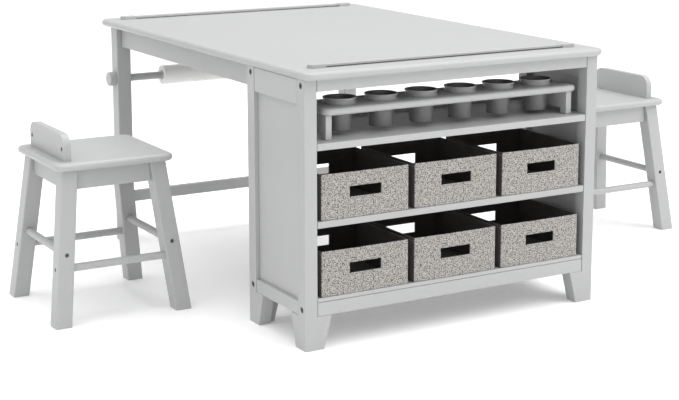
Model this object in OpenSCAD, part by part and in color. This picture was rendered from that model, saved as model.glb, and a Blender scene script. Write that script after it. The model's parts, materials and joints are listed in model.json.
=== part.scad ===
// Children's craft table with a storage cabinet, six bins, a cup tray, a paper roll and two stools.
// Millimetres, +Z up. The table stands square to the axes: its cabinet end faces -Y.
// The origin is on the floor, at the middle of the whole set's footprint.

/* [Tabletop] */
// Width of the tabletop, along X
top_w = 800; // [700:1:1000]
// Length of the tabletop, along Y
top_l = 1172; // [1000:1:1500]
// Thickness of the tabletop
top_t = 18; // [14:0.5:24]
// Height of the table's top face above the floor
table_h = 616; // [560:1:760]
// Radius of the tabletop's corners, seen from above
top_corner_r = 22; // [14:1:60]
// How far the tabletop stands out past the cabinet's sides
top_side_overhang = 7; // [2:0.5:30]
// How far the tabletop stands out past the cabinet's front
top_front_overhang = 20; // [5:0.5:40]
// How far the tabletop stands out past the far legs
top_far_overhang = 18; // [5:0.5:40]

/* [Paper guides] */
// Distance from the cabinet-end edge of the top to the near guide
near_guide_inset = 57; // [30:1:120]
// Distance from the far apron's inner face to the screws of the far guide
far_guide_gap = 7; // [6:0.5:60]
// Distance from the tabletop's side edges to the guides' ends
guide_side_inset = 42; // [25:1:120]
// Width of a guide's end pads, along Y
guide_pad_w = 24; // [18:1:40]
// Distance from a table leg's inner face to the guide screw beside it
guide_leg_gap = 10; // [6:1:30]
// Height of a guide's end pads
guide_pad_h = 8; // [7:0.5:14]
// Width of a guide's batten, along Y
guide_bar_w = 18; // [12:1:30]
// Thickness of a guide's batten
guide_bar_t = 4.5; // [3:0.5:6]
// Distance from a pad's inner end to its screw
guide_screw_inset = 8; // [6:1:14]
// Gap under the batten that the paper runs through
guide_slot_h = 2.5; // [1:0.1:4]

/* [Cabinet] */
// Depth of the cabinet, front to back
cabinet_d = 270; // [230:1:360]
// Width of a corner post, along X
post_w = 30; // [24:1:45]
// Depth of a corner post, along Y
post_d = 34; // [26:1:45]
// Height of the rails' underside above the floor
foot_h = 76; // [50:1:110]
// Width of a bracket foot at the floor
foot_bottom_w = 46; // [38:1:60]
// Width of a bracket foot under the rails
foot_top_w = 66; // [50:1:90]
// Height of the bottom rails
bottom_rail_h = 31; // [20:1:45]
// Thickness of the bottom panel
bottom_t = 10; // [8:1:20]
// Thickness of the shelves
shelf_t = 16; // [10:1:22]
// Height of the tray's bay, from the upper shelf to the tabletop's underside
tray_bay_h = 139; // [125:1:180]
// Height of the ledge along the upper shelf's back, which stops the tray
ledge_h = 12; // [6:1:25]
// Thickness of that ledge
ledge_t = 12; // [8:1:20]
// Height of the front top rail
front_top_rail_h = 27; // [18:1:40]
// Height of the side and back top rails and of the aprons
apron_h = 56; // [40:1:70]
// Thickness of the front and back rails
rail_t = 26; // [22:1:32]
// Thickness of the cabinet's side rails
side_rail_t = 22; // [19:1:26]
// Thickness of the side panels
panel_t = 8; // [5:0.5:10]
// How far a side panel lies behind the posts' outer faces
panel_recess = 10; // [4:0.5:11]
// How far a side panel reaches into its grooves
panel_tongue = 6; // [3:0.5:10]
// Play of a side panel in its grooves, all round
panel_play = 0.2; // [0.1:0.05:0.5]

/* [Connector bolts] */
// Diameter of a connector bolt's shank
bolt_d = 6; // [5:0.5:8]
// Length of a connector bolt under its head
bolt_l = 50; // [44:1:60]
// Diameter of a connector bolt's head
bolt_head_d = 13; // [10:0.5:16]
// Height of a connector bolt's head
bolt_head_h = 3; // [2:0.5:4]
// Width across the corners of the hexagon socket
bolt_socket_d = 5.8; // [4:0.1:7]
// Depth of the counterbore that a bolt's head lies in
bolt_recess = 4; // [3:0.5:6]
// Radial play of bolts and screws in their holes and counterbores
bolt_play = 0.4; // [0.1:0.1:0.8]
// Distance of the top bolts below the tabletop
top_bolt_drop = 13; // [10:1:16]

/* [Open end] */
// Thickness of the square table legs
leg_w = 40; // [32:1:55]
// How far the legs' outer faces lie inside the cabinet's sides
leg_side_inset = 17; // [5:1:40]
// Thickness of the aprons
apron_t = 18; // [12:1:24]
// How far the aprons lie behind the legs' outer faces
apron_setback = 14; // [4:1:20]
// How far the far apron lies behind the legs' outer faces
apron_far_setback = 5; // [2:1:7]
// Height of the stretcher's underside above the floor
stretcher_z = 107; // [60:1:200]
// Height of the stretcher
stretcher_h = 30; // [20:1:50]
// Thickness of the stretcher
stretcher_t = 18; // [12:1:24]

/* [Paper roll] */
// Diameter of the dowel
dowel_d = 20; // [14:0.5:25]
// Distance from the far apron's underside down to the dowel's centre
dowel_drop = 88; // [70:1:200]
// Radial running clearance of the dowel in the legs, and of the core on the dowel
dowel_clear = 0.08; // [0.02:0.01:0.1]
// Gap between a knob and its leg
knob_gap = 0.3; // [0.2:0.1:1]
// Diameter of a knob
knob_d = 38; // [30:1:50]
// Thickness of a knob
knob_t = 19; // [12:1:30]
// Depth of the dowel's seat in a knob
knob_seat = 12; // [6:1:16]
// Outside diameter of the wound paper
paper_d = 53; // [40:1:120]
// Width of the paper
paper_w = 475; // [300:1:560]
// Wall of the cardboard core
core_wall = 3; // [2:0.5:5]
// How far the core stands out past the paper at each end
core_stub = 1; // [0:0.5:4]

/* [Cup tray] */
// Gap between the left posts and the tray's board
tray_left_gap = 28; // [4:1:60]
// Gap between the tray's board and the right posts
tray_right_gap = 16; // [4:1:60]
// Depth of the tray's board, along Y
tray_d = 134; // [110:1:180]
// Height of the tray's top face above the shelf
tray_h = 70; // [64:1:80]
// Thickness of the tray's board
tray_t = 16; // [10:1:20]
// Radius of the tray board's corners, seen from above
tray_corner_r = 16; // [12:1:40]
// How far the tray's front lies behind the cabinet's front
tray_front_inset = 15; // [4:1:60]
// Thickness of the tray's end boards
tray_end_t = 16; // [10:1:20]
// How far an end board lies inside the tray board's end
tray_end_inset = 8; // [4:0.5:40]
// How far an end board's edges lie inside the tray board's front and back
tray_end_setback = 2; // [0:0.5:20]
// Width of the notch under an end board
tray_notch_w = 68; // [40:1:90]
// Height of the notch under an end board
tray_notch_h = 12; // [6:1:20]

/* [Cups] */
// Gap between the tray's end boards and the rims of the cups beside them, seen from above
cup_end_gap = 12.75; // [2:0.25:40]
// Gap between a cup's bottom and the shelf under it
cup_floor_gap = 9.7; // [2:0.1:20]
// How far a cup's top rim stands out past its collar
cup_rim_out = 3; // [1:0.5:6]
// Height of a cup's top rim
cup_rim_h = 4.5; // [3:0.5:6]
// How far a cup's collar, which rests on the tray, stands out past its body
cup_collar_out = 6.5; // [4:0.5:10]
// How far a cup stands above the tray
cup_stand = 13.5; // [9:0.5:18]
// Diameter of a cup's body under its collar
cup_body_d = 57; // [50:0.5:60]
// How far a cup's side leans in from its collar to its bottom
cup_taper = 1.5; // [0:0.5:5]
// Wall of a cup
cup_wall = 2.4; // [1.6:0.1:4]
// Radial play of a cup's body in its hole
cup_play = 1; // [0.5:0.1:3]

/* [Bins] */
// Height of a bin
bin_h = 102; // [80:1:120]
// Wall of a bin
bin_wall = 4; // [3:0.5:6]
// Gap between two bins
bin_gap = 14; // [6:1:20]
// Gap between the left posts and the first bin
bin_left_gap = 10; // [4:1:30]
// Gap between the last bin and the right posts
bin_right_gap = 16; // [4:1:30]
// How far a bin's front lies behind the cabinet's front
bin_front_inset = 1; // [0:0.5:15]
// Distance from a bin's back to the cabinet's back
bin_back_gap = 31; // [27:1:60]
// Width of a bin's hand slot
slot_w = 81; // [60:1:120]
// Height of a bin's hand slot
slot_h = 24; // [18:1:40]
// Height of the hand slot's lower edge above the bin's underside
slot_z = 46; // [30:1:50]

/* [Stools] */
// Width and depth of a seat
seat_w = 290; // [260:1:340]
// Thickness of a seat
seat_t = 18; // [14:0.5:24]
// Height of a seat's top face above the floor
seat_h = 375; // [330:1:420]
// Radius of a seat's corners, seen from above
seat_corner_r = 22; // [14:1:50]
// Thickness of the square stool legs
stool_leg_w = 39; // [32:1:45]
// Distance from a seat's edge to the outer faces of the legs under it
stool_leg_inset = 17.5; // [12:0.5:24]
// How far a leg leans out from the seat to the floor, along X and along Y
stool_splay = 41; // [20:1:60]
// Height of a stool's aprons
stool_apron_h = 47; // [35:1:60]
// Thickness of a stool's aprons
stool_apron_t = 16; // [12:1:18]
// How far a stool's aprons lie inside its legs' outer faces, under the seat
stool_apron_setback = 9; // [4:1:12]
// Diameter of the rungs
rung_d = 18; // [14:0.5:22]
// Height of the two rungs that run along X
low_rung_z = 131; // [110:1:140]
// Height of the two rungs that run along Y
high_rung_z = 166; // [160:1:220]
// How far a rung reaches into a leg, from the leg's middle
rung_tenon = 4; // [0:1:8]
// Radial play of a rung in its leg
rung_play = 0.1; // [0.05:0.05:0.3]
// Diameter of a stool screw's head
screw_head_d = 9; // [7:0.5:11]
// Height of a stool screw's head
screw_head_h = 3; // [2:0.5:4]
// Diameter of a stool screw's shank
screw_d = 4.5; // [3:0.5:6]
// Depth of the counterbore that a stool screw's head lies in
screw_recess = 5; // [4:0.5:7]
// Distance from a seat's sides to the ends of its back lip
lip_side_inset = 30; // [24:1:36]
// Height of a back lip above its seat
lip_h = 62; // [40:1:90]
// Thickness of a back lip
lip_t = 17; // [12:1:24]
// Radius of a back lip's top corners
lip_corner_r = 28; // [15:1:38]
// Distance from a back lip's ends to the studs that hold it
stud_inset = 14; // [12:1:30]
// Height of the studs' cross nuts above the seat
nut_h = 28; // [14:1:32]
// Diameter of a cross nut
nut_d = 10; // [8:0.5:12]
// Depth of a cross nut's hole in the lip
nut_l = 14; // [10:0.5:15]
// How far a stud reaches into a leg
stud_depth = 25; // [15:1:40]
// Distance from the seat's outer edge to its back lip
lip_inset = 28; // [14:1:40]
// Distance from the table's middle to the left stool's middle, along X
left_stool_reach = 639; // [600:1:900]
// Distance from the table's middle to the right stool's middle, along X
right_stool_reach = 872; // [600:1:1200]
// Distance from the table's middle to the left stool's middle, along Y
left_stool_y = 27; // [-60:1:200]
// Distance from the table's middle to the right stool's middle, along Y
right_stool_y = 39; // [-60:1:200]

/* [Fits] */
// Gap under a loose piece that rests on another
rest_gap = 0.1; // [0.05:0.05:0.3]
// Length by which a cutting shape runs past the face that it cuts
cut = 1; // [0.5:0.5:3]

/* [Hidden] */
$fn = 64;

paint = "#d3d5d6";
steel = "#8d9094";
paper = "#f5f5f3";
board_brown = "#b79f7c";
cup_grey = "#6b6d70";
tweed = "#a39d96";

// Table: planes and sizes worked out from the values above
under_z = table_h - top_t;
cabinet_w = top_w - 2 * top_side_overhang;
cabinet_x = cabinet_w / 2;
front_y = -top_l / 2 + top_front_overhang;
back_y = front_y + cabinet_d;
far_y = top_l / 2 - top_far_overhang;
inner_w = cabinet_w - 2 * post_w;
rail_top_z = foot_h + bottom_rail_h;
bottom_top_z = rail_top_z + bottom_t;
upper_top_z = under_z - tray_bay_h;
middle_top_z = (bottom_top_z + upper_top_z) / 2;
leg_outer_x = cabinet_x - leg_side_inset;
leg_mid_x = leg_outer_x - leg_w / 2;
leg_mid_y = far_y - leg_w / 2;
apron_z = under_z - apron_h;
apron_outer_x = leg_outer_x - apron_setback;
dowel_z = apron_z - dowel_drop;
guide_w = top_w - 2 * guide_side_inset;
guide_screw_x = leg_outer_x - leg_w - guide_leg_gap;
guide_pad_l = guide_w / 2 - guide_screw_x + guide_screw_inset;
near_guide_y = -top_l / 2 + near_guide_inset + guide_pad_w / 2;
far_guide_y = far_y - apron_far_setback - apron_t - far_guide_gap;
top_bolt_z = under_z - top_bolt_drop;
low_bolt_z = foot_h + bottom_rail_h / 2;
panel_face_x = cabinet_x - panel_recess - panel_t;
guide_pad_cap = 2;
guide_screw_head_h = 2;
guide_screw_l = top_t + guide_pad_h - 2 * guide_pad_cap;
rung_screw_l = 22;

// Tray and cups
tray_w = inner_w - tray_left_gap - tray_right_gap;
tray_shift = (tray_left_gap - tray_right_gap) / 2;
tray_y = front_y + tray_front_inset + tray_d / 2;
tray_top_z = upper_top_z + rest_gap + tray_h;
tray_under_z = tray_top_z - tray_t;
tray_end_x = tray_w / 2 - tray_end_inset - tray_end_t / 2;
cup_count = 6;
cup_collar_d = cup_body_d + 2 * cup_collar_out;
cup_rim_d = cup_collar_d + 2 * cup_rim_out;
cup_base_d = cup_body_d - 2 * cup_taper;
cup_base_z = upper_top_z + cup_floor_gap;
cup_h = tray_top_z + rest_gap + cup_stand - cup_base_z;
cup_row_l = 2 * tray_end_x - tray_end_t - 2 * cup_end_gap - cup_rim_d;
cup_pitch = cup_row_l / (cup_count - 1);

// Bins
bins_per_row = 3;
bin_w = (inner_w - bin_left_gap - bin_right_gap - (bins_per_row - 1) * bin_gap) / bins_per_row;
bin_d = cabinet_d - bin_front_inset - bin_back_gap;
bin_y = front_y + bin_front_inset + bin_d / 2;

// Stools
seat_under_z = seat_h - seat_t;
stool_top_reach = seat_w / 2 - stool_leg_inset - stool_leg_w / 2;
stool_foot_reach = stool_top_reach + stool_splay;
lip_l = seat_w - 2 * lip_side_inset;
stool_slope = (stool_foot_reach - stool_top_reach) / seat_under_z;
stool_lean = atan(stool_slope);
stool_leg_face = stool_leg_w / 2 / cos(stool_lean);
stool_apron_mid = stool_top_reach + stool_leg_face - stool_apron_setback - stool_apron_t / 2;
leg_edge_r = 3;
stud_x = -seat_w / 2 + lip_inset + lip_t / 2;
stud_y = lip_l / 2 - stud_inset;
stud_nut_z = seat_h + nut_h;
nut_recess = 1;
nut_socket_h = 2;

// The set's middle, so that the origin lies under the middle of its footprint
set_x = (right_stool_reach - left_stool_reach) / 2;

function stool_reach(z) = stool_foot_reach - stool_slope * z;
function stool_face(z) = stool_reach(z) + stool_leg_face;
function cup_x(i) = tray_shift + (i - (cup_count + 1) / 2) * cup_pitch;
function bin_x(column) = -inner_w / 2 + bin_left_gap + bin_w / 2 + column * (bin_w + bin_gap);

// ---------- shared shapes ----------

module place() translate([-set_x, 0, 0]) children();

// A rectangle with round corners, centred
module round_rect(w, l, r) {
    square([w - 2 * r, l], center = true);
    square([w, l - 2 * r], center = true);
    for (x = [-1, 1], y = [-1, 1]) translate([x * (w / 2 - r), y * (l / 2 - r)]) circle(r);
}

// A board with round corners and full-round edges, centred on its top face's middle
module round_board(w, l, t, r) {
    long = l - 2 * r;
    wide = w - 2 * r;
    translate([-wide / 2, -long / 2, -t]) cube([wide, long, t]);
    for (side = [0, 180]) rotate([0, 0, side]) {
        translate([wide / 2, long / 2, 0]) rotate([90, 0, 0]) linear_extrude(long) rim_section(t, r);
        translate([-wide / 2, long / 2, 0]) rotate([90, 0, 90]) linear_extrude(wide) rim_section(t, r);
        translate([wide / 2, long / 2, 0]) rotate_extrude(angle = 90) rim_section(t, r);
        translate([-wide / 2, long / 2, 0]) rotate([0, 0, 90]) rotate_extrude(angle = 90)
            rim_section(t, r);
    }
}

// The section of a board's rim: a strip of width r whose outer end is fully round
module rim_section(t, r) {
    translate([0, -t]) square([r - t / 2, t]);
    translate([r - t / 2, -t / 2]) circle(d = t);
}

// A bolt or screw that points along +X, with the underside of its head at x = 0
module socket_bolt(d, l, head_d, head_h, socket_d) {
    rotate([0, 90, 0]) difference() {
        union() {
            cylinder(h = l, d = d);
            translate([0, 0, -head_h]) cylinder(h = head_h, d = head_d);
        }
        translate([0, 0, -head_h - cut]) cylinder(h = head_h * 0.6 + cut, d = socket_d, $fn = 6);
    }
}

// ---------- tabletop and paper guides ----------

module tabletop() {
    color(paint) difference() {
        translate([0, 0, table_h]) round_board(top_w, top_l, top_t, top_corner_r);
        for (y = [near_guide_y, far_guide_y], x = [-1, 1])
            translate([x * guide_screw_x, y, under_z - cut])
                cylinder(h = top_t + 2 * cut, d = screw_d + 2 * bolt_play);
    }
}

// A batten on two end pads, with a slot under it for the paper
module paper_guide(y) {
    color(paint) translate([0, y, table_h]) difference() {
        union() {
            translate([0, 0, guide_slot_h + guide_bar_t / 2])
                cube([guide_w - guide_pad_l, guide_bar_w, guide_bar_t], center = true);
            for (x = [-1, 1]) translate([x * (guide_w - guide_pad_l) / 2, 0, 0])
                linear_extrude(guide_pad_h) {
                    translate([x * (guide_pad_l - guide_pad_w) / 2, 0]) circle(d = guide_pad_w);
                    translate([-x * guide_pad_w / 4, 0])
                        square([guide_pad_l - guide_pad_w / 2, guide_pad_w], center = true);
                }
        }
        for (x = [-1, 1]) translate([x * guide_screw_x, 0, -cut])
            cylinder(h = guide_pad_h - guide_pad_cap + cut, d = screw_d + 2 * bolt_play);
    }
}

// Screws that hold the guides from under the tabletop
module guide_screws() {
    color(steel) for (y = [near_guide_y, far_guide_y], x = [-1, 1])
        translate([x * guide_screw_x, y, under_z]) rotate([0, -90, 0])
            socket_bolt(screw_d, guide_screw_l, screw_head_d, guide_screw_head_h, screw_d * 0.8);
}

// ---------- cabinet ----------

// One corner post, for the front left corner, with its outer corner at the origin
module corner_post() {
    color(paint) difference() {
        union() {
            cube([post_w, post_d, under_z]);
            translate([0, post_d, 0]) rotate([90, 0, 0]) linear_extrude(post_d) foot_outline();
            rotate([90, 0, 90]) linear_extrude(post_w) foot_outline();
        }
        // groove for the side panel
        translate([panel_recess - panel_play, post_d - panel_tongue - panel_play,
                   rail_top_z - panel_tongue - panel_play])
            cube([panel_t + 2 * panel_play, panel_tongue + panel_play + cut,
                  apron_z - rail_top_z + 2 * (panel_tongue + panel_play)]);
        for (z = [low_bolt_z, top_bolt_z]) translate([0, post_d / 2, z]) rotate([0, 90, 0]) {
            translate([0, 0, -cut]) cylinder(h = post_w + 2 * cut, d = bolt_d + 2 * bolt_play);
            translate([0, 0, -cut]) cylinder(h = bolt_recess + cut, d = bolt_head_d + 2 * bolt_play);
        }
    }
}

module foot_outline()
    polygon([[0, 0], [foot_bottom_w, 0], [foot_top_w, foot_h], [0, foot_h]]);

// The corner post, mirrored into the corner that side and end name
module post_at(side, end)
    translate([side * cabinet_x, end < 0 ? front_y : back_y, 0])
        mirror([side > 0 ? 1 : 0, 0, 0]) mirror([0, end > 0 ? 1 : 0, 0]) corner_post();

// A rail of a cabinet side, between its posts, grooved on one edge for the panel
module side_rail(side, z, h, groove_z) {
    color(paint) difference() {
        translate([side > 0 ? cabinet_x - side_rail_t : -cabinet_x, front_y + post_d, z])
            cube([side_rail_t, cabinet_d - 2 * post_d, h]);
        translate([side * (cabinet_x - panel_recess - panel_t / 2), (front_y + back_y) / 2, groove_z])
            cube([panel_t + 2 * panel_play, cabinet_d, 2 * (panel_tongue + panel_play)], center = true);
    }
}

module side_panel(side) {
    color(paint) translate([side * (cabinet_x - panel_recess - panel_t / 2), (front_y + back_y) / 2,
                            (rail_top_z + apron_z) / 2])
        cube([panel_t, cabinet_d - 2 * post_d + 2 * panel_tongue,
              apron_z - rail_top_z + 2 * panel_tongue], center = true);
}

// A rail across the cabinet, between the posts, drilled at its ends for the bolts
module cross_rail(end, z, h, bolt_z) {
    outer_y = end < 0 ? front_y : back_y - rail_t;
    bolt_y = end < 0 ? front_y + post_d / 2 : back_y - post_d / 2;
    color(paint) difference() {
        translate([-inner_w / 2, outer_y, z]) cube([inner_w, rail_t, h]);
        for (x = [-1, 1]) translate([x * inner_w / 2, bolt_y, bolt_z]) rotate([0, 90, 0])
            cylinder(h = 2 * (bolt_l - post_w + bolt_recess + cut), d = bolt_d + 2 * bolt_play,
                     center = true);
    }
}

// A shelf that reaches from panel to panel, notched round the four posts
module shelf(top_z, t) {
    color(paint) difference() {
        translate([-panel_face_x, front_y, top_z - t]) cube([2 * panel_face_x, cabinet_d, t]);
        for (x = [-1, 1], y = [front_y, back_y - post_d])
            translate([x > 0 ? inner_w / 2 : -cabinet_x, y - (y == front_y ? cut : 0), top_z - t - cut])
                cube([post_w, post_d + cut, t + 2 * cut]);
    }
}

// The upper shelf, with a low ledge between its back corners
module upper_shelf() {
    shelf(upper_top_z, shelf_t);
    color(paint) translate([-inner_w / 2, back_y - ledge_t, upper_top_z])
        cube([inner_w, ledge_t, ledge_h]);
}

module cabinet_bolts() {
    color(steel) for (side = [-1, 1], y = [front_y + post_d / 2, back_y - post_d / 2],
                      z = [low_bolt_z, top_bolt_z])
        translate([side * (cabinet_x - bolt_recess), y, z]) rotate([0, 0, side < 0 ? 0 : 180])
            socket_bolt(bolt_d, bolt_l, bolt_head_d, bolt_head_h, bolt_socket_d);
}

// ---------- open end ----------

module apron_side(side) {
    color(paint) translate([side > 0 ? apron_outer_x - apron_t : -apron_outer_x, back_y, apron_z])
        cube([apron_t, far_y - leg_w - back_y, apron_h]);
}

module apron_far() {
    color(paint) translate([-leg_outer_x + leg_w, far_y - apron_far_setback - apron_t, apron_z])
        cube([2 * (leg_outer_x - leg_w), apron_t, apron_h]);
}

module far_leg(side) {
    color(paint) difference() {
        translate([side * leg_mid_x, leg_mid_y, 0]) linear_extrude(under_z)
            round_rect(leg_w, leg_w, leg_edge_r);
        translate([side * leg_mid_x, leg_mid_y, dowel_z]) rotate([0, 90, 0])
            cylinder(h = leg_w + 2 * cut, d = dowel_d + 2 * dowel_clear, center = true);
    }
}

module stretcher() {
    color(paint) translate([-leg_outer_x + leg_w, leg_mid_y - stretcher_t / 2, stretcher_z])
        cube([2 * (leg_outer_x - leg_w), stretcher_t, stretcher_h]);
}

// ---------- paper roll ----------

// Turns a shape that stands on +Z to lie along +X on the dowel's axis
module on_dowel(x) translate([x, leg_mid_y, dowel_z]) rotate([0, 90, 0]) children();

module roll_dowel() {
    reach = leg_outer_x + knob_gap + knob_seat;
    color(paint) on_dowel(-reach) cylinder(h = 2 * reach, d = dowel_d);
}

module knob(side) {
    color(paint) translate([side * (leg_outer_x + knob_gap), leg_mid_y, dowel_z])
        rotate([0, side * 90, 0]) difference() {
            cylinder(h = knob_t, d = knob_d);
            translate([0, 0, -cut]) cylinder(h = knob_seat + cut, d = dowel_d);
        }
}

core_d = dowel_d + 2 * (dowel_clear + core_wall);

module paper_core() {
    l = paper_w + 2 * core_stub;
    color(board_brown) on_dowel(-l / 2) difference() {
        cylinder(h = l, d = core_d);
        translate([0, 0, -cut]) cylinder(h = l + 2 * cut, d = dowel_d + 2 * dowel_clear);
    }
}

module paper_roll() {
    color(paper) on_dowel(-paper_w / 2) difference() {
        cylinder(h = paper_w, d = paper_d);
        translate([0, 0, -cut]) cylinder(h = paper_w + 2 * cut, d = core_d);
    }
}

// ---------- cup tray ----------

module tray_board() {
    color(paint) difference() {
        translate([tray_shift, tray_y, tray_top_z])
            round_board(tray_w, tray_d, tray_t, tray_corner_r);
        for (i = [1 : cup_count]) translate([cup_x(i), tray_y, tray_under_z - cut])
            cylinder(h = tray_t + 2 * cut, d = cup_body_d + 2 * cup_play);
    }
}

module tray_end(side) {
    depth = tray_d - tray_t - 2 * tray_end_setback;
    h = tray_under_z - upper_top_z - rest_gap;
    color(paint) translate([tray_shift + side * tray_end_x, tray_y, upper_top_z + rest_gap])
        difference() {
            translate([-tray_end_t / 2, -depth / 2, 0]) cube([tray_end_t, depth, h]);
            translate([-tray_end_t, -tray_notch_w / 2, -cut])
                cube([2 * tray_end_t, tray_notch_w, tray_notch_h + cut]);
        }
}

module cup(i) {
    collar_z = cup_h - cup_stand;
    rim_z = cup_h - cup_rim_h;
    color(cup_grey) translate([cup_x(i), tray_y, cup_base_z]) rotate_extrude() polygon([
        [0, 0], [cup_base_d / 2, 0], [cup_body_d / 2, collar_z], [cup_collar_d / 2, collar_z],
        [cup_collar_d / 2, rim_z], [cup_rim_d / 2, rim_z], [cup_rim_d / 2, cup_h],
        [cup_collar_d / 2 - cup_wall, cup_h], [cup_collar_d / 2 - cup_wall, collar_z + cup_wall],
        [cup_body_d / 2 - cup_wall, collar_z + cup_wall], [cup_base_d / 2 - cup_wall, cup_wall],
        [0, cup_wall]]);
}

// ---------- bins ----------

// Bins 1 to 3 stand on the bottom panel, bins 4 to 6 on the middle shelf, from left to right
module bin(i) {
    column = (i - 1) % bins_per_row;
    base_z = (i <= bins_per_row ? bottom_top_z : middle_top_z) + rest_gap;
    color(tweed) translate([bin_x(column), bin_y, base_z]) difference() {
        translate([-bin_w / 2, -bin_d / 2, 0]) cube([bin_w, bin_d, bin_h]);
        translate([-bin_w / 2 + bin_wall, -bin_d / 2 + bin_wall, bin_wall])
            cube([bin_w - 2 * bin_wall, bin_d - 2 * bin_wall, bin_h]);
        translate([-slot_w / 2, -bin_d / 2 - cut, slot_z]) cube([slot_w, bin_d + 2 * cut, slot_h]);
    }
}

// ---------- stools ----------

// Puts a stool that is modelled round its own middle, with its lip on -X, beside the table
module stool_at(side)
    translate([side < 0 ? -left_stool_reach : right_stool_reach,
               side < 0 ? left_stool_y : right_stool_y, 0])
        mirror([side > 0 ? 1 : 0, 0, 0]) children();

module stool_seat() {
    color(paint) difference() {
        translate([0, 0, seat_h]) round_board(seat_w, seat_w, seat_t, seat_corner_r);
        stud_bores();
    }
}

module stool_lip() {
    color(paint) difference() {
        translate([-seat_w / 2 + lip_inset, 0, seat_h]) rotate([90, 0, 90])
            linear_extrude(lip_t) lip_outline();
        stud_bores();
        for (y = [-1, 1]) translate([stud_x - lip_t / 2 - cut, y * stud_y, stud_nut_z])
            rotate([0, 90, 0]) cylinder(h = nut_l + cut, d = nut_d + 2 * bolt_play);
    }
}

// The upright bores of the two studs that join a lip to its legs through the seat
module stud_bores() {
    for (y = [-1, 1]) translate([stud_x, y * stud_y, seat_under_z - stud_depth])
        cylinder(h = stud_nut_z - seat_under_z + stud_depth, d = bolt_d + 2 * bolt_play);
}

// Two upright studs, each with a cross nut that shows in the lip's outer face
module lip_studs() {
    for (y = [-1, 1]) translate([stud_x, y * stud_y, 0]) {
        translate([0, 0, seat_under_z - stud_depth])
            cylinder(h = stud_nut_z - seat_under_z + stud_depth, d = bolt_d);
        translate([-lip_t / 2 + nut_recess, 0, stud_nut_z]) rotate([0, 90, 0]) difference() {
            cylinder(h = nut_l - nut_recess, d = nut_d);
            translate([0, 0, -cut]) cylinder(h = nut_socket_h + cut, d = nut_d / 2, $fn = 6);
        }
    }
}

// A low upright with round top corners
module lip_outline() {
    translate([-lip_l / 2, 0]) square([lip_l, lip_h - lip_corner_r]);
    translate([-lip_l / 2 + lip_corner_r, 0]) square([lip_l - 2 * lip_corner_r, lip_h]);
    for (y = [-1, 1]) translate([y * (lip_l / 2 - lip_corner_r), lip_h - lip_corner_r])
        circle(lip_corner_r);
}

// One leg of a stool, from the floor to the seat, leaning out along X and Y
module stool_leg(x, y) {
    run = stool_top_reach - stool_foot_reach;
    length = sqrt(2 * run * run + seat_under_z * seat_under_z);
    tilt_x = -asin(y * run / length);
    tilt_y = atan2(x * run, seat_under_z);
    difference() {
        intersection() {
            translate([x * stool_foot_reach, y * stool_foot_reach, 0]) rotate([tilt_x, tilt_y, 0])
                translate([0, 0, -stool_leg_w]) linear_extrude(length + 2 * stool_leg_w)
                    round_rect(stool_leg_w, stool_leg_w, leg_edge_r);
            translate([-seat_w, -seat_w, 0]) cube([2 * seat_w, 2 * seat_w, seat_under_z]);
        }
        if (x < 0) stud_bores();
        // seats of the rungs, and the counterbored screw holes in line with them
        translate([0, y * stool_reach(low_rung_z), low_rung_z]) rotate([0, x * 90, 0])
            rung_bore(low_rung_z);
        translate([x * stool_reach(high_rung_z), 0, high_rung_z]) rotate([-y * 90, 0, 0])
            rung_bore(high_rung_z);
    }
}

// The bore for one end of a rung at height z, its axis on +Z from the stool's middle
module rung_bore(z) {
    cylinder(h = stool_reach(z) + rung_tenon, d = rung_d + 2 * rung_play);
    cylinder(h = stool_face(z) + 2 * stool_leg_w, d = screw_d + 2 * bolt_play);
    translate([0, 0, stool_face(z) - screw_recess])
        cylinder(h = 2 * stool_leg_w, d = screw_head_d + 2 * bolt_play);
}

module stool_legs() {
    color(paint) for (x = [-1, 1], y = [-1, 1]) stool_leg(x, y);
}

// Four boards between the tops of the legs
module stool_aprons() {
    color(paint) difference() {
        for (a = [0 : 90 : 270]) rotate([0, 0, a])
            translate([-stool_apron_half(), stool_apron_mid - stool_apron_t / 2,
                       seat_under_z - stool_apron_h])
                cube([2 * stool_apron_half(), stool_apron_t, stool_apron_h]);
        for (x = [-1, 1], y = [-1, 1]) stool_leg_space(x, y);
    }
}

function stool_apron_half() = stool_reach(seat_under_z - stool_apron_h);

// The straight block that a leg takes up, without its bores
module stool_leg_space(x, y) {
    run = stool_top_reach - stool_foot_reach;
    length = sqrt(2 * run * run + seat_under_z * seat_under_z);
    translate([x * stool_foot_reach, y * stool_foot_reach, 0])
        rotate([-asin(y * run / length), atan2(x * run, seat_under_z), 0])
            translate([0, 0, length / 2 + stool_leg_w])
                cube([stool_leg_w, stool_leg_w, length], center = true);
}

module stool_rungs() {
    low = stool_reach(low_rung_z) + rung_tenon;
    high = stool_reach(high_rung_z) + rung_tenon;
    color(paint) for (side = [-1, 1]) {
        translate([0, side * stool_reach(low_rung_z), low_rung_z]) rotate([0, 90, 0])
            rung(low);
        translate([side * stool_reach(high_rung_z), 0, high_rung_z]) rotate([90, 0, 0])
            rung(high);
    }
}

// A round rung of the given half length, drilled at both ends for its screws
module rung(half) {
    difference() {
        cylinder(h = 2 * half, d = rung_d, center = true);
        for (end = [-1, 1]) translate([0, 0, end * half])
            cylinder(h = 2 * rung_screw_l, d = screw_d + 2 * bolt_play, center = true);
    }
}

module stool_screws() {
    low_face = stool_face(low_rung_z) - screw_recess;
    high_face = stool_face(high_rung_z) - screw_recess;
    color(steel) {
        lip_studs();
        for (x = [-1, 1], y = [-1, 1]) {
            translate([x * low_face, y * stool_reach(low_rung_z), low_rung_z])
                rotate([0, 0, x > 0 ? 180 : 0]) rung_screw();
            translate([x * stool_reach(high_rung_z), y * high_face, high_rung_z])
                rotate([0, 0, -y * 90]) rung_screw();
        }
    }
}

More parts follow.
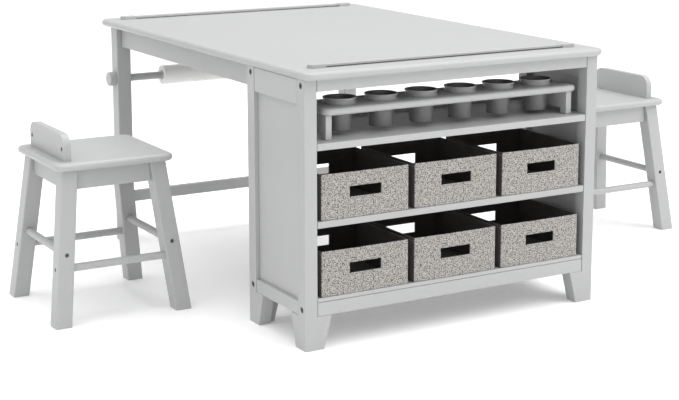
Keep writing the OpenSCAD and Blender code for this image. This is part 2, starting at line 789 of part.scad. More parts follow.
// A screw from a leg's counterbore to the bottom of the bore in its rung
module rung_screw()
    socket_bolt(screw_d, stool_leg_face - screw_recess - rung_tenon + rung_screw_l,
                screw_head_d, screw_head_h, screw_d);

// ---------- nodes ----------

place() tabletop();
place() paper_guide(near_guide_y);  // paper_guide_near
place() paper_guide(far_guide_y);  // paper_guide_far
place() guide_screws();
place() post_at(-1, -1);  // post_front_left
place() post_at(1, -1);  // post_front_right
place() post_at(-1, 1);  // post_back_left
place() post_at(1, 1);  // post_back_right
place() side_rail(-1, apron_z, apron_h, apron_z);  // side_top_rail_left
place() side_rail(1, apron_z, apron_h, apron_z);  // side_top_rail_right
place() side_rail(-1, foot_h, bottom_rail_h, rail_top_z);  // side_bottom_rail_left
place() side_rail(1, foot_h, bottom_rail_h, rail_top_z);  // side_bottom_rail_right
place() side_panel(-1);  // side_panel_left
place() side_panel(1);  // side_panel_right
place() cross_rail(-1, under_z - front_top_rail_h, front_top_rail_h, top_bolt_z);  // front_top_rail
place() cross_rail(1, apron_z, apron_h, top_bolt_z);  // back_top_rail
place() cross_rail(-1, foot_h, bottom_rail_h, low_bolt_z);  // front_bottom_rail
place() cross_rail(1, foot_h, bottom_rail_h, low_bolt_z);  // back_bottom_rail
place() upper_shelf();
place() shelf(middle_top_z, shelf_t);  // middle_shelf
place() shelf(bottom_top_z, bottom_t);  // bottom_panel
place() cabinet_bolts();
place() apron_side(-1);  // apron_left
place() apron_side(1);  // apron_right
place() apron_far();
place() far_leg(-1);  // far_leg_left
place() far_leg(1);  // far_leg_right
place() stretcher();
place() roll_dowel();
place() knob(-1);  // knob_left
place() knob(1);  // knob_right
place() paper_core();
place() paper_roll();
place() tray_board();
place() tray_end(-1);  // tray_end_left
place() tray_end(1);  // tray_end_right
for (i = [1 : cup_count]) place() cup(i);
for (i = [1 : 2 * bins_per_row]) place() bin(i);
place() stool_at(-1) stool_seat();  // left_stool_seat
place() stool_at(-1) stool_lip();  // left_stool_lip
place() stool_at(-1) stool_legs();  // left_stool_legs
place() stool_at(-1) stool_aprons();  // left_stool_aprons
place() stool_at(-1) stool_rungs();  // left_stool_rungs
place() stool_at(-1) stool_screws();  // left_stool_screws
place() stool_at(1) stool_seat();  // right_stool_seat
place() stool_at(1) stool_lip();  // right_stool_lip
place() stool_at(1) stool_legs();  // right_stool_legs
place() stool_at(1) stool_aprons();  // right_stool_aprons
place() stool_at(1) stool_rungs();  // right_stool_rungs
place() stool_at(1) stool_screws();  // right_stool_screws
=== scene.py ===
"""Looks of a children's craft table with storage bins, a cup tray, a paper roll and two stools.

The packed model is the frame: each piece takes its place from a CAD node and rides on its body.
Units are metres. The cabinet end of the table faces -Y and the paper roll hangs at the +Y end.
"""

import json
import math
import random

import bmesh
import bpy
from bpy.props import FloatProperty, FloatVectorProperty, IntProperty, PointerProperty
from mathutils import Matrix, Vector


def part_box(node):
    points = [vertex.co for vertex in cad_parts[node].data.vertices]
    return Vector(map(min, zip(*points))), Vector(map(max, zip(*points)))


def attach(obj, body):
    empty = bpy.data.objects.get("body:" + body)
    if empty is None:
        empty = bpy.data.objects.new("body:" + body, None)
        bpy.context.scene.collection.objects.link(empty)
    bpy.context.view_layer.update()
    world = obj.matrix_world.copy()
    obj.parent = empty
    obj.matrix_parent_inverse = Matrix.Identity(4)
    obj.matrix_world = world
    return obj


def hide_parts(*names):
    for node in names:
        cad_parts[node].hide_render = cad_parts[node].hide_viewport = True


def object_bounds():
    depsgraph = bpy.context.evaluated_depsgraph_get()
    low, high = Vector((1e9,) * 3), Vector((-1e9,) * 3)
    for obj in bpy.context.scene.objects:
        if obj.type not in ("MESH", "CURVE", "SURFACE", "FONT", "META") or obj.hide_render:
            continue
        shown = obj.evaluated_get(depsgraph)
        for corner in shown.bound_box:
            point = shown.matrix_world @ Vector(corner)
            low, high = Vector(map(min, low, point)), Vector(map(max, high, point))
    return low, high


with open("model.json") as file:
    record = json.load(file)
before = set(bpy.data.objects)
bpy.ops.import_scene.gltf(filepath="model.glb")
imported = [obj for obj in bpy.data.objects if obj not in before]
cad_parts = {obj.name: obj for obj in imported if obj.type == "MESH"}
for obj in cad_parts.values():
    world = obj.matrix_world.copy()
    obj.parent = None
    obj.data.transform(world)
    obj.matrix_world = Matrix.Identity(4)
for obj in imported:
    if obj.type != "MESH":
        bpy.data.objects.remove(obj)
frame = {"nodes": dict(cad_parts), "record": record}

CAD_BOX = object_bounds()

bl_info = {
    "name": "Craft Table Set",
    "version": (1, 0, 0),
    "blender": (4, 5, 0),
    "location": "3D View > Sidebar > Craft Table",
    "description": "Finishes a craft table, its bins, cups and paper roll, and two stools",
    "category": "Add Mesh",
}

NODE_BODY = {n: b for b, nodes in frame["record"]["behaviour"]["bodies"].items() for n in nodes}
SLOT_OF = {s["node"]: s["material_slot"] for s in frame["record"]["subparts"]}


# ---------- sizes and colours that a user would change ----------


class PaintSettings(bpy.types.PropertyGroup):
    """The painted boards"""

    colour: FloatVectorProperty(
        name="Paint", description="Colour of the satin paint on every board",
        subtype="COLOR", size=3, min=0, max=1, default=(0.40, 0.402, 0.405))
    tone_spread: FloatProperty(
        name="Tone spread", description="How much one board's paint differs from the next",
        min=0, max=0.2, default=0.035)
    grain: FloatProperty(
        name="Grain", description="How far the wood's grain shows through the paint",
        min=0, max=1, default=0.35)
    joint: FloatProperty(
        name="Joint", description="How far a board's faces lie inside its neighbours",
        subtype="DISTANCE", min=0, max=0.001, default=0.0004)
    board_edge: FloatProperty(
        name="Board edge", description="Radius of the eased edges on rails, shelves and aprons",
        subtype="DISTANCE", min=0.0002, max=0.004, default=0.0012)
    leg_edge: FloatProperty(
        name="Leg edge", description="Radius of the eased edges on posts and legs",
        subtype="DISTANCE", min=0.0005, max=0.006, default=0.0024)
    lip_edge: FloatProperty(
        name="Lip edge", description="Radius of the rounded edges on the stools' back lips",
        subtype="DISTANCE", min=0.001, max=0.008, default=0.0055)
    guide_edge: FloatProperty(
        name="Guide edge", description="Radius of the rounded edges on the paper guides",
        subtype="DISTANCE", min=0.0005, max=0.004, default=0.0020)


class BinSettings(bpy.types.PropertyGroup):
    """The fabric bins"""

    light_yarn: FloatVectorProperty(
        name="Light yarn", description="Lightest yarn of the tweed",
        subtype="COLOR", size=3, min=0, max=1, default=(0.44, 0.42, 0.395))
    dark_yarn: FloatVectorProperty(
        name="Dark yarn", description="Darkest yarn of the tweed",
        subtype="COLOR", size=3, min=0, max=1, default=(0.052, 0.048, 0.044))
    lining: FloatVectorProperty(
        name="Lining", description="Colour of the woven lining",
        subtype="COLOR", size=3, min=0, max=1, default=(0.030, 0.0265, 0.0245))
    wall: FloatProperty(
        name="Wall", description="Thickness of a bin's stiffened wall",
        subtype="DISTANCE", min=0.002, max=0.006, default=0.0038)
    corner: FloatProperty(
        name="Corner", description="Outer radius of a bin's upright corners",
        subtype="DISTANCE", min=0.004, max=0.012, default=0.0048)
    bulge: FloatProperty(
        name="Bulge", description="How far a wall bows out at its middle",
        subtype="DISTANCE", min=0, max=0.004, default=0.0014)
    slot_width: FloatProperty(
        name="Hand slot width", description="Width of the slots in the front and back walls",
        subtype="DISTANCE", min=0.05, max=0.12, default=0.081)
    slot_low: FloatProperty(
        name="Hand slot low edge", description="Height of the slots' lower edge in the bin",
        subtype="DISTANCE", min=0.03, max=0.05, default=0.046)
    slot_high: FloatProperty(
        name="Hand slot high edge", description="Height of the slots' upper edge in the bin",
        subtype="DISTANCE", min=0.055, max=0.08, default=0.070)
    stitch: FloatProperty(
        name="Stitch pitch", description="Distance from one stitch to the next",
        subtype="DISTANCE", min=0.003, max=0.01, default=0.0048)


class CupSettings(bpy.types.PropertyGroup):
    """The tray's cups"""

    colour: FloatVectorProperty(
        name="Plastic", description="Colour of the smoke-grey plastic",
        subtype="COLOR", size=3, min=0, max=1, default=(0.150, 0.150, 0.152))
    # the rim colour is a painted highlight: the rims' outsides are painted paler for the front and
    # top light they catch, while the bodies stay in the tray's shade
    rim_colour: FloatVectorProperty(
        name="Rim", description="Colour of the paler, highlighted outside of the rims",
        subtype="COLOR", size=3, min=0, max=1, default=(0.42, 0.42, 0.425))
    wall: FloatProperty(
        name="Wall", description="Thickness of a cup's wall",
        subtype="DISTANCE", min=0.001, max=0.004, default=0.0022)
    lip: FloatProperty(
        name="Lip radius", description="Radius of the rounded edges on a cup's rims",
        subtype="DISTANCE", min=0.0003, max=0.002, default=0.0009)
    sides: IntProperty(
        name="Sides", description="Number of facets round a cup", min=48, max=160, default=96)


class RollSettings(bpy.types.PropertyGroup):
    """The paper roll and its dowel"""

    paper: FloatVectorProperty(
        name="Paper", description="Colour of the drawing paper",
        subtype="COLOR", size=3, min=0, max=1, default=(0.90, 0.90, 0.885))
    board: FloatVectorProperty(
        name="Core", description="Colour of the cardboard core",
        subtype="COLOR", size=3, min=0, max=1, default=(0.60, 0.58, 0.54))
    sheet: FloatProperty(
        name="Sheet step", description="Step where the outer end of the paper lies on the roll",
        subtype="DISTANCE", min=0.0001, max=0.001, default=0.00045)
    rings: IntProperty(
        name="Rings", description="Number of windings that stand out at the roll's ends",
        min=4, max=30, default=13)
    knob_edge: FloatProperty(
        name="Knob edge", description="Radius of the turned knobs' rounded edges",
        subtype="DISTANCE", min=0.001, max=0.008, default=0.0032)


class FastenerSettings(bpy.types.PropertyGroup):
    """Bolts, screws and cross nuts"""

    steel: FloatVectorProperty(
        name="Steel", description="Colour of the dark plated steel",
        subtype="COLOR", size=3, min=0, max=1, default=(0.12, 0.122, 0.128))
    sides: IntProperty(
        name="Sides", description="Number of facets round a head", min=18, max=48, default=30)


class StageSettings(bpy.types.PropertyGroup):
    """Floor, lights and camera"""

    floor: FloatVectorProperty(
        name="Floor", description="Colour of the pale floor",
        subtype="COLOR", size=3, min=0, max=1, default=(0.93, 0.93, 0.93))
    camera_place: FloatVectorProperty(
        name="Camera", description="Place of the camera", subtype="TRANSLATION", size=3,
        default=(-2.0721, -3.4499, 1.1060))
    camera_yaw: FloatProperty(
        name="Camera yaw", description="Turn of the camera from +Y towards +X",
        subtype="ANGLE", default=math.radians(30.34))
    camera_pitch: FloatProperty(
        name="Camera pitch", description="Tilt of the camera below the horizon",
        subtype="ANGLE", default=math.radians(10.67))
    lens: FloatProperty(
        name="Lens", description="Focal length in millimetres", min=20, max=200, default=83.48)
    shift_x: FloatProperty(name="Shift X", description="Sideways lens shift", default=-0.0235)
    shift_y: FloatProperty(name="Shift Y", description="Upright lens shift", default=-0.1)


SETTINGS = {
    "craft_paint": PaintSettings,
    "craft_bins": BinSettings,
    "craft_cups": CupSettings,
    "craft_roll": RollSettings,
    "craft_fasteners": FastenerSettings,
    "craft_stage": StageSettings,
}


# ---------- node tree helpers ----------


class Nodes:
    """Adds nodes to a tree, sets their values and links them"""

    def __init__(self, tree):
        self.tree = tree

    def add(self, kind, inputs=None, **settings):
        """One node; inputs maps a socket's name or number to a value or another node's output"""
        node = self.tree.nodes.new(kind)
        for key, value in settings.items():
            setattr(node, key, value)
        for key, value in (inputs or {}).items():
            self.put(node.inputs[key], value)
        return node

    def put(self, socket, value):
        if isinstance(value, bpy.types.NodeSocket):
            self.tree.links.new(value, socket)
        else:
            socket.default_value = value

    def math(self, operation, a, b):
        return self.add("ShaderNodeMath", {0: a, 1: b}, operation=operation).outputs[0]

    def times(self, a, b):
        return self.math("MULTIPLY", a, b)

    def shares(self, a, share, b):
        """A share of one value and the rest of another"""
        return self.math("ADD", self.times(a, share), self.times(b, 1 - share))

    def mix(self, factor, a, b):
        """A colour mix"""
        node = self.add("ShaderNodeMix", data_type="RGBA")
        self.put(node.inputs[0], factor)
        self.put(node.inputs[6], a)
        self.put(node.inputs[7], b)
        return node.outputs[2]

    def ramp(self, factor, stops):
        """A value from 0 to 1 turned into a colour; stops are (place, grey or colour)"""
        node = self.add("ShaderNodeValToRGB", {"Fac": factor})
        band = node.color_ramp.elements
        while len(band) < len(stops):
            band.new(1)
        for element, (place, colour) in zip(band, stops):
            element.position = place
            element.color = (colour,) * 3 + (1,) if isinstance(colour, float) else (*colour, 1)
        return node.outputs["Color"]

    def noise(self, vector, scale, detail=2.0, roughness=0.5):
        return self.add("ShaderNodeTexNoise", {
            "Vector": vector, "Scale": scale, "Detail": detail, "Roughness": roughness}).outputs[0]

    def wave(self, vector, scale, distortion, detail, direction):
        return self.add("ShaderNodeTexWave", {
            "Vector": vector, "Scale": scale, "Distortion": distortion, "Detail": detail},
            bands_direction=direction).outputs["Fac"]

    def scaled(self, vector, factors):
        """Coordinates stretched by three factors"""
        return self.add("ShaderNodeMapping", {"Vector": vector, "Scale": factors}).outputs[0]

    def within(self, value, low, high):
        """A value from 0 to 1 moved into a range"""
        return self.add("ShaderNodeMapRange", {
            "Value": value, "To Min": low, "To Max": high}).outputs[0]

    def bump(self, height, strength, distance, normal=None):
        inputs = {"Height": height, "Strength": strength, "Distance": distance}
        if normal:
            inputs["Normal"] = normal
        return self.add("ShaderNodeBump", inputs).outputs[0]

    def place(self):
        """Coordinates that stay with the piece"""
        return self.add("ShaderNodeTexCoord").outputs["Object"]

    def cloth(self):
        """Coordinates that follow the cloth, in metres"""
        return self.add("ShaderNodeUVMap", uv_map="cloth").outputs[0]

    def tone(self):
        """The number that set_tone gave the mesh; on a cup it marks the rims, whose paler colour
        is a painted highlight
        """
        return self.add("ShaderNodeAttribute", attribute_name="tone").outputs["Fac"]

    def surface(self, inputs):
        """The material's Principled shader"""
        shader = self.add("ShaderNodeBsdfPrincipled", inputs)
        self.add("ShaderNodeOutputMaterial", {"Surface": shader.outputs[0]})


def rgb(colour, factor=1.0):
    return tuple(min(1.0, c * factor) for c in colour) + (1.0,)


def finish(name):
    """Wraps a function that fills in a material, so that it is made only when first asked for.
    A name with a gap in it takes the letter of the axis that is asked for"""
    def wrap(fill):
        def made(*axis):
            own = name.format(*("xyz"[i] for i in axis))
            if own not in bpy.data.materials:
                material = bpy.data.materials.new(own)
                material.use_nodes = True
                material.node_tree.nodes.clear()
                fill(Nodes(material.node_tree), *axis)
            return bpy.data.materials[own]
        return made
    return wrap


# ---------- materials ----------


@finish("painted_wood_{}")
def painted_wood(nodes, axis):
    """Satin paint over smooth wood whose grain runs along the given axis"""
    paint = bpy.context.scene.craft_paint
    place = nodes.place()
    fineness_across = 22.0
    along = [1.0 if i == axis else fineness_across for i in range(3)]
    grain = nodes.noise(nodes.scaled(place, along), 11.0, 6.0, 0.62)
    pores = nodes.noise(nodes.scaled(place, [2.2 * a for a in along]), 24.0, 3.0, 0.7)
    cloud = nodes.noise(place, 3.1, 3.0)
    spray = nodes.noise(place, 900.0, 2.0, 0.6)
    spread = paint.tone_spread
    board = nodes.mix(nodes.tone(), rgb(paint.colour, 1 - spread), rgb(paint.colour, 1 + spread))
    streaks = nodes.ramp(grain, [(0.32, 0.0), (0.68, 1.0)])
    shaded = nodes.mix(nodes.times(streaks, 0.16 * paint.grain), board, rgb(paint.colour, 0.80))
    peel = nodes.bump(spray, 0.10, 0.0002)
    fine = nodes.bump(pores, 0.22 * paint.grain, 0.0004, peel)
    nodes.surface({
        "Base Color": nodes.mix(nodes.times(cloud, 0.12), shaded, rgb(paint.colour, 1.06)),
        "Roughness": nodes.within(cloud, 0.36, 0.50),
        "Specular IOR Level": 0.42,
        "Coat Weight": 0.06,
        "Coat Roughness": 0.25,
        "Normal": nodes.bump(grain, 0.5 * paint.grain, 0.0008, fine)})


@finish("bin_tweed")
def tweed(nodes):
    """Slubby tweed cloth"""
    bins = bpy.context.scene.craft_bins
    cloth = nodes.cloth()
    yarns = 430.0
    warp = nodes.noise(nodes.scaled(cloth, (yarns, 0.22 * yarns, 1)), 1.0, 1.0, 0.5)
    weft = nodes.noise(nodes.scaled(cloth, (0.3 * yarns, yarns, 1)), 1.0, 1.0, 0.5)
    fleck = nodes.noise(nodes.scaled(cloth, (yarns, yarns, 1)), 1.0, 1.0, 0.5)
    over = nodes.add("ShaderNodeTexChecker", {
        "Vector": cloth, "Scale": 2 * yarns, "Color1": (1, 1, 1, 1), "Color2": (0, 0, 0, 1)})
    yarn = nodes.mix(over.outputs["Fac"], warp, weft)
    woven = nodes.shares(yarn, 0.4, nodes.shares(warp, 0.5, weft))
    mixed = nodes.shares(fleck, 0.55, woven)
    light, dark = tuple(bins.light_yarn), tuple(bins.dark_yarn)
    middle = tuple(0.5 * a + 0.5 * b for a, b in zip(light, dark))
    dulled = tuple(0.80 * c for c in light)
    nap = nodes.noise(nodes.scaled(cloth, (yarns, yarns, 1)), 1.0, 1.0)
    yarns_seen = [(0.43, dark), (0.47, middle), (0.51, dulled), (0.58, light)]
    nodes.surface({
        "Base Color": nodes.ramp(mixed, yarns_seen),
        "Roughness": 0.92,
        "Specular IOR Level": 0.18,
        "Sheen Weight": 0.25,
        "Sheen Roughness": 0.5,
        "Normal": nodes.bump(nodes.shares(mixed, 0.7, nap), 0.9, 0.0012)})


@finish("bin_lining")
def lining(nodes):
    """Near-black woven lining with a fine rib"""
    bins = bpy.context.scene.craft_bins
    cloth = nodes.cloth()
    ribs = [nodes.wave(cloth, 210.0, 0.6, 1.0, "X"), nodes.wave(cloth, 260.0, 0.6, 1.0, "Y")]
    weave = nodes.times(*ribs)
    lit = nodes.times(weave, nodes.noise(cloth, 30.0, 3.0))
    nodes.surface({
        "Base Color": nodes.mix(lit, rgb(bins.lining), rgb(bins.lining, 5.0)),
        "Roughness": 0.85,
        "Specular IOR Level": 0.2,
        "Sheen Weight": 0.15,
        "Normal": nodes.bump(weave, 0.5, 0.0006)})


@finish("bin_thread")
def thread(nodes):
    """Twisted sewing thread"""
    twist = nodes.noise(nodes.place(), 1800.0, 1.0)
    nodes.surface({
        "Base Color": nodes.mix(twist, rgb((0.20, 0.19, 0.175)), rgb((0.46, 0.44, 0.41))),
        "Roughness": 0.8})


@finish("smoke_plastic")
def cup_plastic(nodes):
    """Smoke-grey moulded plastic with a fine satin texture, and rims painted paler as a painted
    highlight
    """
    cups = bpy.context.scene.craft_cups
    place = nodes.place()
    cloud = nodes.noise(place, 14.0, 3.0)
    body = nodes.mix(cloud, rgb(cups.colour, 0.90), rgb(cups.colour, 1.12))
    # the tone mask paints the rims paler: a painted highlight for the light on the rims
    nodes.surface({
        "Base Color": nodes.mix(nodes.tone(), body, rgb(cups.rim_colour)),
        "Roughness": nodes.within(cloud, 0.24, 0.34),
        "Specular IOR Level": 0.5,
        "Subsurface Weight": 0.12,
        "Subsurface Radius": (0.004, 0.004, 0.004),
        "Subsurface Scale": 1.0,
        "Normal": nodes.bump(nodes.noise(place, 1500.0, 2.0), 0.06, 0.0002)})


@finish("wound_paper")
def drawing_paper(nodes):
    """Matt white paper with fine fibres"""
    roll = bpy.context.scene.craft_roll
    place = nodes.place()
    fibre = nodes.noise(place, 420.0, 5.0, 0.7)
    cloud = nodes.noise(nodes.scaled(place, (0.4, 1, 1)), 16.0, 2.0)
    nodes.surface({
        "Base Color": nodes.mix(nodes.times(fibre, cloud), rgb(roll.paper), rgb(roll.paper, 0.93)),
        "Roughness": 0.88,
        "Specular IOR Level": 0.25,
        "Normal": nodes.bump(fibre, 0.18, 0.0003)})


@finish("roll_core")
def core_board(nodes):
    """Pale cardboard with the slanting seam of its winding"""
    roll = bpy.context.scene.craft_roll
    place = nodes.place()
    fibre = nodes.noise(nodes.scaled(place, (1, 3, 3)), 160.0, 4.0, 0.65)
    seam = nodes.wave(place, 9.0, 0.4, 2.0, "DIAGONAL")
    nodes.surface({
        "Base Color": nodes.mix(nodes.times(fibre, seam), rgb(roll.board), rgb(roll.board, 0.78)),
        "Roughness": 0.9,
        "Normal": nodes.bump(fibre, 0.3, 0.0004)})


@finish("dark_steel")
def plated_steel(nodes):
    """Dark plated steel with fine turning marks"""
    fasteners = bpy.context.scene.craft_fasteners
    place = nodes.place()
    stain = nodes.noise(place, 220.0, 3.0)
    marks = nodes.noise(place, 2600.0, 2.0)
    nodes.surface({
        "Base Color": nodes.mix(stain, rgb(fasteners.steel, 0.8), rgb(fasteners.steel, 1.35)),
        "Metallic": 1.0,
        "Roughness": nodes.within(marks, 0.30, 0.52),
        "Normal": nodes.bump(marks, 0.12, 0.0001)})


@finish("pale_floor")
def pale_floor(nodes):
    """Pale floor that glows a little, so that it meets the background"""
    nodes.surface({
        "Base Color": rgb(bpy.context.scene.craft_stage.floor),
        "Roughness": 0.75,
        "Emission Color": (1, 1, 1, 1),
        "Emission Strength": 0.13,
        "Specular IOR Level": 0.1})


# ---------- mesh helpers ----------


def add_object(name, mesh, materials=()):
    piece = bpy.data.objects.new(name, mesh)
    bpy.context.scene.collection.objects.link(piece)
    for material in materials:
        mesh.materials.append(material)
    return piece


def join(piece, node):
    """The piece rides on a CAD node's body"""
    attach(piece, NODE_BODY[node])


def settle(piece, node):
    """The piece stands for its CAD node and rides on its body"""
    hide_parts(node)
    join(piece, node)


def evaluated_mesh(piece):
    """The piece's mesh with its modifiers applied; the modifiers are then taken off"""
    graph = bpy.context.evaluated_depsgraph_get()
    mesh = bpy.data.meshes.new_from_object(piece.evaluated_get(graph))
    mesh.name = piece.name
    old = piece.data
    piece.modifiers.clear()
    piece.data = mesh
    bpy.data.meshes.remove(old)


def set_tone(mesh, value):
    """One number for the whole mesh, which its paint reads"""
    tone = mesh.attributes.new("tone", "FLOAT", "POINT")
    tone.data.foreach_set("value", [value] * len(mesh.vertices))


def joined_copy(node):
    """A bmesh of a CAD node with its loose triangles joined"""
    bm = bmesh.new()
    bm.from_mesh(frame["nodes"][node].data)
    bmesh.ops.remove_doubles(bm, verts=bm.verts, dist=2e-6)
    return bm


def solids_of(node):
    """(lowest corner, highest corner) of each separate solid in a CAD node"""
    bm = joined_copy(node)
    unseen, boxes = set(bm.verts), []
    while unseen:
        stack, found = [unseen.pop()], []
        while stack:
            vert = stack.pop()
            found.append(vert.co.copy())
            for edge in vert.link_edges:
                other = edge.other_vert(vert)
                if other in unseen:
                    unseen.remove(other)
                    stack.append(other)
        low = Vector([min(p[i] for p in found) for i in range(3)])
        high = Vector([max(p[i] for p in found) for i in range(3)])
        boxes.append((low, high))
    bm.free()
    return sorted(boxes, key=lambda b: tuple(round(c, 5) for c in b[0]))


def longest_axis(low, high):
    size = high - low
    return max(range(3), key=lambda i: size[i])


def lathe(bm, profile, place, sides, material=0):
    """Turns (radius, height) points round the axis that place sets on +Z"""
    rings = []
    for radius, height in profile:
        if radius < 1e-9:
            rings.append([bm.verts.new(place @ Vector((0, 0, height)))])
            continue
        turns = [2 * math.pi * k / sides for k in range(sides)]
        rings.append([bm.verts.new(
            place @ Vector((radius * math.cos(t), radius * math.sin(t), height))) for t in turns])
    for lower, upper in zip(rings, rings[1:]):
        for k in range(sides):
            quad = [lower[k % len(lower)], lower[(k + 1) % len(lower)],
                    upper[(k + 1) % len(upper)], upper[k % len(upper)]]
            corners = list(dict.fromkeys(quad))
            if len(corners) > 2:
                bm.faces.new(corners).material_index = material


def rounded(profile, radius, steps=4):
    """A profile with an arc in place of each corner that a radius is asked for"""
    points = []
    for k, (point, wanted) in enumerate(profile):
        here = Vector(point)
        if not wanted or k in (0, len(profile) - 1):
            points.append(tuple(here))
            continue
        before = Vector(profile[k - 1][0]) - here
        after = Vector(profile[k + 1][0]) - here
        reach = min(radius * wanted, before.length * 0.45, after.length * 0.45)
        start, end = here + before.normalized() * reach, here + after.normalized() * reach
        for i in range(steps + 1):
            t = i / steps
            points.append(tuple((1 - t) ** 2 * start + 2 * t * (1 - t) * here + t * t * end))
    return points


def to_mesh(bm, name):
    mesh = bpy.data.meshes.new(name)
    bm.to_mesh(mesh)
    bm.free()
    return mesh


def smooth_mesh(bm, name, smooth_angle):
    """A mesh from a bmesh, smooth except where it turns more sharply than an angle in degrees"""
    limit = math.radians(smooth_angle)
    for face in bm.faces:
        face.smooth = True
    for edge in bm.edges:
        edge.smooth = len(edge.link_faces) == 2 and edge.calc_face_angle(0) < limit
    return to_mesh(bm, name)


def finish_mesh(bm, name, smooth_angle):
    """A smooth mesh from a bmesh of closed surfaces, its faces outwards"""
    bmesh.ops.remove_doubles(bm, verts=bm.verts, dist=1e-6)
    bmesh.ops.recalc_face_normals(bm, faces=bm.faces)
    return smooth_mesh(bm, name, smooth_angle)


def turn_edges(piece, width, segments, angle):
    """A bevel along a piece's edges that are sharper than an angle in degrees"""
    bevel = piece.modifiers.new("Turned edges", "BEVEL")
    bevel.width = width
    bevel.segments = segments
    bevel.limit_method = "ANGLE"
    bevel.angle_limit = math.radians(angle)
    return bevel


def repeating_tree(name, shape, inputs, spread):
    """Geometry Nodes that set a shape on each of the spots that spread makes from a mesh.
    spread(nodes, start) returns (spots, turns). The last input is the shapes' material.
    Returns (tree, identifiers of its inputs)"""
    tree = bpy.data.node_groups.new(name, "GeometryNodeTree")

    def socket(label, kind, way="INPUT"):
        made = tree.interface.new_socket(label, in_out=way, socket_type="NodeSocket" + kind)
        return made.identifier

    socket("Geometry", "Geometry")
    identifiers = [socket(label, kind) for label, kind in inputs]
    socket("Geometry", "Geometry", "OUTPUT")
    nodes = Nodes(tree)
    start = nodes.add("NodeGroupInput")
    spots, turns = spread(nodes, start)
    copy = nodes.add("GeometryNodeObjectInfo", {"Object": shape})
    placed = nodes.add("GeometryNodeInstanceOnPoints", {
        "Points": spots, "Instance": copy.outputs["Geometry"], "Rotation": turns})
    real = nodes.add("GeometryNodeRealizeInstances", {"Geometry": placed.outputs[0]})
    coated = nodes.add("GeometryNodeSetMaterial", {
        "Geometry": real.outputs[0], "Material": start.outputs[inputs[-1][0]]})
    nodes.add("NodeGroupOutput", {0: coated.outputs[0]})
    return tree, identifiers


def repeat(piece, tree, values):
    """Turns a piece of points or lines into its tree's shapes, as a plain mesh"""
    fixed = piece.modifiers.new("Repeat", "NODES")
    fixed.node_group = tree
    for identifier, value in values:
        fixed[identifier] = value
    evaluated_mesh(piece)


# ---------- boards ----------


def edge_radius(node):
    """The radius of a board's eased edges"""
    paint = bpy.context.scene.craft_paint
    if node.endswith("_lip"):
        return paint.lip_edge
    if node.startswith(("post_", "far_leg")) or node.endswith("_legs"):
        return paint.leg_edge
    if node.startswith("paper_guide"):
        return paint.guide_edge
    if node.startswith("side_panel"):
        return 0.0004
    return paint.board_edge


def grain_axis(node):
    """Wood is cut with its grain along its longest side"""
    if node.endswith("_legs"):
        return 2
    if node.endswith("_aprons") or node.endswith("_rungs"):
        return 0
    return longest_axis(*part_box(node))


def is_framed(node):
    """Boards that sit between others, and so show a joint line all round"""
    return node.endswith(("_rail", "_rail_left", "_rail_right", "_shelf", "_panel", "stretcher")) \
        or node.startswith(("apron", "tray_end"))


def drawn_in(bm, low, high, amount):
    """Moves every point towards a box's middle: its sides come in by amount, its ends by more"""
    at_ends = 3.2
    middle = (low + high) / 2
    along = longest_axis(low, high)
    for vert in bm.verts:
        for i in range(3):
            inward = amount * (at_ends if i == along else 1) / ((high[i] - low[i]) / 2)
            vert.co[i] = middle[i] + (vert.co[i] - middle[i]) * (1 - inward)


def painted_board(node, tone):
    """A board with eased edges, from a merged copy of its CAD node"""
    bm = joined_copy(node)
    bmesh.ops.dissolve_limit(bm, angle_limit=math.radians(0.5), verts=bm.verts, edges=bm.edges)
    if is_framed(node):
        drawn_in(bm, *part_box(node), bpy.context.scene.craft_paint.joint)
    name, sharp = node + "_painted", 35
    piece = add_object(name, smooth_mesh(bm, name, sharp), [painted_wood(grain_axis(node))])
    eased = turn_edges(piece, edge_radius(node), 3, sharp)
    eased.use_clamp_overlap = True
    eased.miter_outer = "MITER_ARC"
    piece.modifiers.new("Flat faces", "WEIGHTED_NORMAL").keep_sharp = False
    evaluated_mesh(piece)
    set_tone(piece.data, tone)
    settle(piece, node)


class CRAFT_OT_boards(bpy.types.Operator):
    """Gives every painted board of the table and the stools its eased edges and its paint"""

    bl_idname = "craft.boards"
    bl_label = "Painted boards"

    def execute(self, context):
        tones = random.Random(11)
        for node, slot in sorted(SLOT_OF.items()):
            if slot == "painted_wood" and node not in ("knob_left", "knob_right", "roll_dowel"):
                painted_board(node, tones.random())
        return {"FINISHED"}


# ---------- fabric bins ----------


def spaced(stops, widest):
    """Numbers from the first stop to the last, through every stop, at most widest apart"""
    line = [stops[0]]
    for start, end in zip(stops, stops[1:]):
        steps = max(1, math.ceil((end - start) / widest))
        line += [start + (end - start) * (i + 1) / steps for i in range(steps)]
    return line


def bin_outline(half_w, half_d, radius, slot_half):
    """Points round a bin, seen from above: (place, outward direction, wall number, share of wall).
    The walls are numbered front, right, back, left, and a corner has no number"""
    reach = 0.016
    x_line = spaced([-half_w + radius, -slot_half, slot_half, half_w - radius], reach)
    y_line = spaced([-half_d + radius, half_d - radius], reach)
    points = []

    def straight(line, wall, to_point, outward):
        for value in line:
            share = (value - line[0]) / (line[-1] - line[0])
            points.append((Vector(to_point(value)), Vector(outward), wall, share))

    def corner(cx, cy, start):
        for k in range(1, 4):
            angle = start + math.pi / 2 * k / 4
            away = Vector((math.cos(angle), math.sin(angle)))
            points.append((Vector((cx, cy)) + away * radius, away, None, 0.0))

    inner_x, inner_y = half_w - radius, half_d - radius
    straight(x_line, 0, lambda v: (v, -half_d), (0, -1))
    corner(inner_x, -inner_y, -math.pi / 2)
    straight(y_line, 1, lambda v: (half_w, v), (1, 0))
    corner(inner_x, inner_y, 0)
    straight(x_line, 2, lambda v: (-v, half_d), (0, 1))
    corner(-inner_x, inner_y, math.pi / 2)
    straight(y_line, 3, lambda v: (-half_w, -v), (-1, 0))
    corner(-inner_x, -inner_y, math.pi)
    return points


